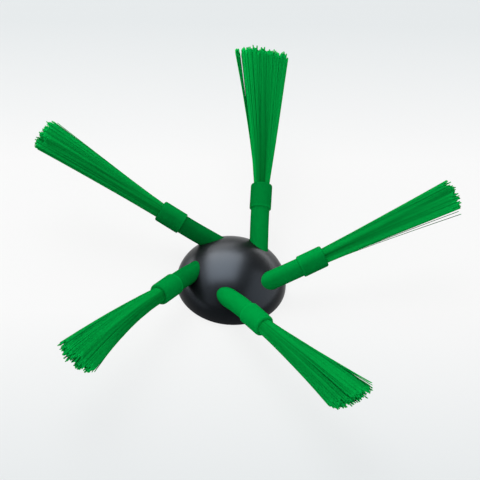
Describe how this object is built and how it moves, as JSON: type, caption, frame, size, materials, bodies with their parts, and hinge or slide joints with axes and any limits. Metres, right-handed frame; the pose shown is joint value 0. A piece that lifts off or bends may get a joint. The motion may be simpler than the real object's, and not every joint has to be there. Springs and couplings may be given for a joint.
{
  "type": "robot vacuum side brush",
  "caption": "Side brush with a low domed hub, a drive socket underneath, and rising flexible arms that each end in a fan of bristles to sweep edges and corners.",
  "frame": {"origin": "on the drive axis, in the plane of the hub's underside, at the mouth of the drive socket", "axes": "+Z along the drive axis, out of the dome; the drive socket opens towards -Z; an arm points near +Y"},
  "size_m": [0.141, 0.1433, 0.0424],
  "materials": {
    "hub_plastic": "satin moulded plastic, dark grey",
    "arm_rubber": "smooth soft moulding, green",
    "bristles": "fine drawn filaments, green"
  },
  "bodies": {
    "root": {"hub_dome": "hub_plastic", "hub_base": "hub_plastic", "sleeve_1": "arm_rubber", "sleeve_2": "arm_rubber", "sleeve_3": "arm_rubber", "sleeve_4": "arm_rubber", "sleeve_5": "arm_rubber", "tuft_1": "bristles", "tuft_2": "bristles", "tuft_3": "bristles", "tuft_4": "bristles", "tuft_5": "bristles"}
  },
  "joints": []
}
